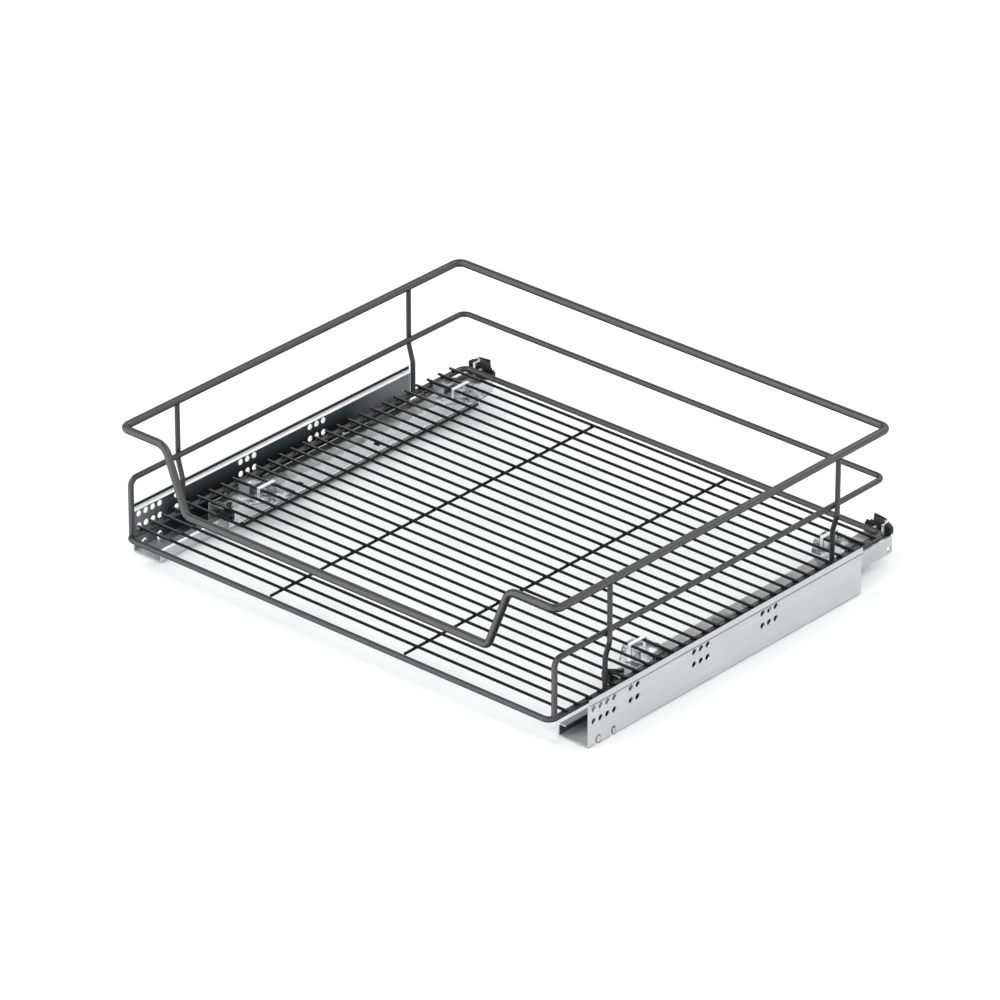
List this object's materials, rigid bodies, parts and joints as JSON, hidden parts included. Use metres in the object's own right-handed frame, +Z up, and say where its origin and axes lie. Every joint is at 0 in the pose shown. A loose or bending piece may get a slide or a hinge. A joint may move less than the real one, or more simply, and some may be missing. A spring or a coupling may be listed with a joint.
{
  "type": "pull-out wire drawer unit",
  "caption": "Pull-out drawer unit: a dark wire basket with a dipped front on a pair of concealed full-extension soft-close runners for a kitchen cabinet",
  "frame": {"origin": "bottom centre of the closed unit's bounding box, on the plane of the cabinet profiles' undersides", "axes": "+X is the right-hand side seen from the front, -Y is the front, where the drawer comes out, +Z is up"},
  "size_m": [0.568, 0.4904, 0.1505],
  "materials": {
    "wire": "anthracite satin powder coat",
    "runner_steel": "galvanised, light blue-grey",
    "bright_steel": "bright zinc",
    "black_plastic": "fine moulded texture",
    "pin_steel": "yellow passivated"
  },
  "bodies": {
    "cabinet": {"cabinet_profile_left": "runner_steel", "cabinet_profile_right": "runner_steel", "damper_housing_left": "black_plastic", "damper_housing_right": "black_plastic", "damper_cylinder_left": "bright_steel", "damper_cylinder_right": "bright_steel"},
    "drawer": {"top_rail": "wire", "mid_rail": "wire", "base_frame": "wire", "post_front_left": "wire", "post_front_right": "wire", "post_rear_left": "wire", "post_rear_right": "wire", "floor_wires": "wire", "stiffener_wires": "wire", "clip_plate_front_left": "runner_steel", "clip_plate_front_right": "runner_steel", "clip_plate_rear_left": "runner_steel", "clip_plate_rear_right": "runner_steel", "clip_rivets_left": "bright_steel", "clip_rivets_right": "bright_steel", "drawer_profile_left": "runner_steel", "drawer_profile_right": "runner_steel", "trigger_pin_left": "bright_steel", "trigger_pin_right": "bright_steel", "rear_bracket_left": "black_plastic", "rear_bracket_right": "black_plastic", "rear_hook_left": "runner_steel", "rear_hook_right": "runner_steel", "rear_pin_left": "pin_steel", "rear_pin_right": "pin_steel"},
    "intermediate_left": {"intermediate_profile_left": "runner_steel", "guide_strip_left": "black_plastic"},
    "lower_carriage_left": {"lower_cage_left": "black_plastic", "lower_rollers_left": "bright_steel"},
    "upper_carriage_left": {"upper_cage_left": "black_plastic", "upper_rollers_left": "bright_steel"},
    "pull_in_catch_left": {"catch_left": "black_plastic", "piston_rod_left": "bright_steel"},
    "lever_left": {"release_lever_left": "black_plastic"},
    "intermediate_right": {"intermediate_profile_right": "runner_steel", "guide_strip_right": "black_plastic"},
    "lower_carriage_right": {"lower_cage_right": "black_plastic", "lower_rollers_right": "bright_steel"},
    "upper_carriage_right": {"upper_cage_right": "black_plastic", "upper_rollers_right": "bright_steel"},
    "pull_in_catch_right": {"catch_right": "black_plastic", "piston_rod_right": "bright_steel"},
    "lever_right": {"release_lever_right": "black_plastic"}
  },
  "joints": [
    {"name": "drawer_slide", "type": "slide", "parent": "cabinet", "child": "drawer", "axis": [0, -1, 0], "range_m": [0, 0.38]},
    {"name": "intermediate_slide_left", "type": "slide", "parent": "cabinet", "child": "intermediate_left", "axis": [0, -1, 0], "range_m": [0, 0.19]},
    {"name": "lower_carriage_slide_left", "type": "slide", "parent": "cabinet", "child": "lower_carriage_left", "axis": [0, -1, 0], "range_m": [0, 0.095]},
    {"name": "upper_carriage_slide_left", "type": "slide", "parent": "cabinet", "child": "upper_carriage_left", "axis": [0, -1, 0], "range_m": [0, 0.285]},
    {"name": "catch_slide_left", "type": "slide", "parent": "cabinet", "child": "pull_in_catch_left", "axis": [0, -1, 0], "range_m": [0, 0.04]},
    {"name": "release_lever_left_hinge", "type": "hinge", "parent": "drawer", "child": "lever_left", "pos_m": [-0.2323, -0.1348, 0.02275], "axis": [1, 0, 0], "range_deg": [0, 10], "stiffness_Nm_per_rad": 0.02},
    {"name": "intermediate_slide_right", "type": "slide", "parent": "cabinet", "child": "intermediate_right", "axis": [0, -1, 0], "range_m": [0, 0.19]},
    {"name": "lower_carriage_slide_right", "type": "slide", "parent": "cabinet", "child": "lower_carriage_right", "axis": [0, -1, 0], "range_m": [0, 0.095]},
    {"name": "upper_carriage_slide_right", "type": "slide", "parent": "cabinet", "child": "upper_carriage_right", "axis": [0, -1, 0], "range_m": [0, 0.285]},
    {"name": "catch_slide_right", "type": "slide", "parent": "cabinet", "child": "pull_in_catch_right", "axis": [0, -1, 0], "range_m": [0, 0.04]},
    {"name": "release_lever_right_hinge", "type": "hinge", "parent": "drawer", "child": "lever_right", "pos_m": [0.2323, -0.1348, 0.02275], "axis": [1, 0, 0], "range_deg": [0, 10], "stiffness_Nm_per_rad": 0.02}
  ],
  "couplings": [
    {"joint": "intermediate_slide_left", "follows": "drawer_slide", "ratio": 0.5},
    {"joint": "lower_carriage_slide_left", "follows": "drawer_slide", "ratio": 0.25},
    {"joint": "upper_carriage_slide_left", "follows": "drawer_slide", "ratio": 0.75},
    {"joint": "catch_slide_left", "follows": "drawer_slide", "ratio": 0.10526},
    {"joint": "intermediate_slide_right", "follows": "drawer_slide", "ratio": 0.5},
    {"joint": "lower_carriage_slide_right", "follows": "drawer_slide", "ratio": 0.25},
    {"joint": "upper_carriage_slide_right", "follows": "drawer_slide", "ratio": 0.75},
    {"joint": "catch_slide_right", "follows": "drawer_slide", "ratio": 0.10526}
  ]
}
